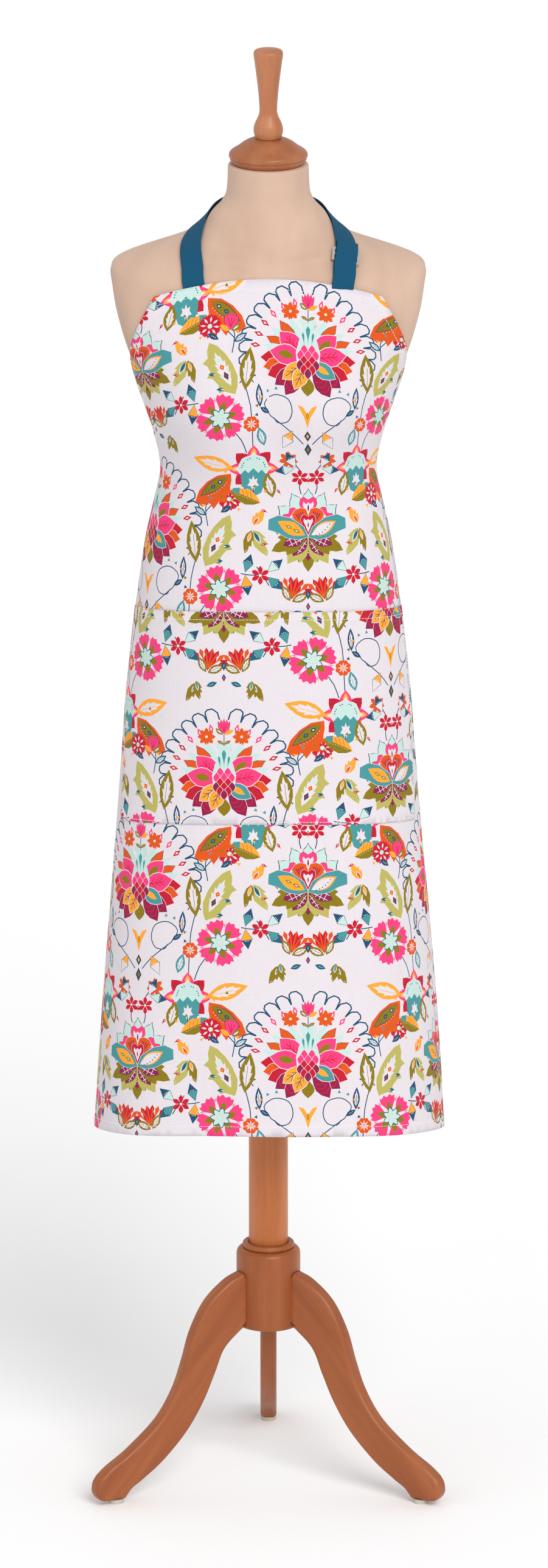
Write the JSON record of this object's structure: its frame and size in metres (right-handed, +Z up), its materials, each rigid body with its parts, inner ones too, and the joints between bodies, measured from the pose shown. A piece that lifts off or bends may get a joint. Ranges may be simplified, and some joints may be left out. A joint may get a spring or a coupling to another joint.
{
  "type": "apron on a dress form",
  "caption": "Bib apron with patch pocket, neck strap and tied waist, worn by a padded dress form on a wooden tripod stand that adjusts in height and turns.",
  "frame": {"origin": "centre of the footprint's bounding box on the floor, under the feet; the stand's axis is 45.3 mm in front of it", "axes": "+Z up along the column, -Y towards the front of the apron, +X to the apron's right as seen from the front"},
  "size_m": [0.4098, 0.3754, 1.704],
  "materials": {
    "beech": "satin lacquered reddish beech",
    "jersey": "fine knit jersey, matt, skin beige",
    "printed_cotton": null,
    "webbing": "teal herringbone webbing",
    "steel": "zinc plated steel",
    "nickel": "nickel plated",
    "black_plastic": "moulded, matt",
    "shell_plastic": "moulded shell, hidden under the jersey",
    "felt": "pressed grey felt",
    "board": "plywood"
  },
  "bodies": {
    "stand": {"leg_left": "beech", "leg_right": "beech", "leg_rear": "beech", "foot_pad_left": "felt", "foot_pad_right": "felt", "foot_pad_rear": "felt", "leg_dowel_left_1": "beech", "leg_dowel_left_2": "beech", "leg_dowel_right_1": "beech", "leg_dowel_right_2": "beech", "leg_dowel_rear_1": "beech", "leg_dowel_rear_2": "beech", "leg_hub": "beech", "hub_ring": "beech", "column": "beech", "hub_washer": "steel", "column_bolt": "steel", "clamp_collar": "steel"},
    "lock": {"lock_screw": "steel", "lock_knob": "black_plastic"},
    "post": {"inner_post": "steel", "post_plug_top": "black_plastic", "post_plug_bottom": "black_plastic"},
    "form": {"torso_cover": "jersey", "torso_shell": "shell_plastic", "base_board": "board", "pole_socket": "black_plastic", "socket_screw_1": "steel", "socket_screw_2": "steel", "socket_screw_3": "steel", "socket_screw_4": "steel", "neck_block": "board", "cap_stud": "steel", "neck_cap": "beech", "apron_panel": "printed_cotton", "apron_pocket": "printed_cotton", "neck_strap_long": "webbing", "neck_strap_return": "webbing", "waist_tie_left": "webbing", "waist_tie_right": "webbing", "bow_knot": "webbing", "bow_loop_left": "webbing", "bow_loop_right": "webbing", "tie_tail_left": "webbing", "tie_tail_right": "webbing"},
    "finial": {"finial": "beech"},
    "slider": {"strap_slider": "nickel"}
  },
  "joints": [
    {"name": "height_slide", "type": "slide", "parent": "stand", "child": "post", "axis": [0, 0, 1], "range_m": [-0.09, 0.22]},
    {"name": "form_turn", "type": "hinge", "parent": "post", "child": "form", "pos_m": [0, -0.04533, 0.989], "axis": [0, 0, 1], "continuous": true},
    {"name": "finial_turn", "type": "hinge", "parent": "form", "child": "finial", "pos_m": [0, -0.04533, 1.6], "axis": [0, 0, 1], "continuous": true},
    {"name": "lock_screw_turn", "type": "hinge", "parent": "stand", "child": "lock", "pos_m": [0, -0.01973, 0.7073], "axis": [0, 1, 0], "continuous": true},
    {"name": "slider_slide", "type": "slide", "parent": "form", "child": "slider", "axis": [-0.0887, -0.7692, -0.6329], "range_m": [-0.005, 0.005]}
  ]
}
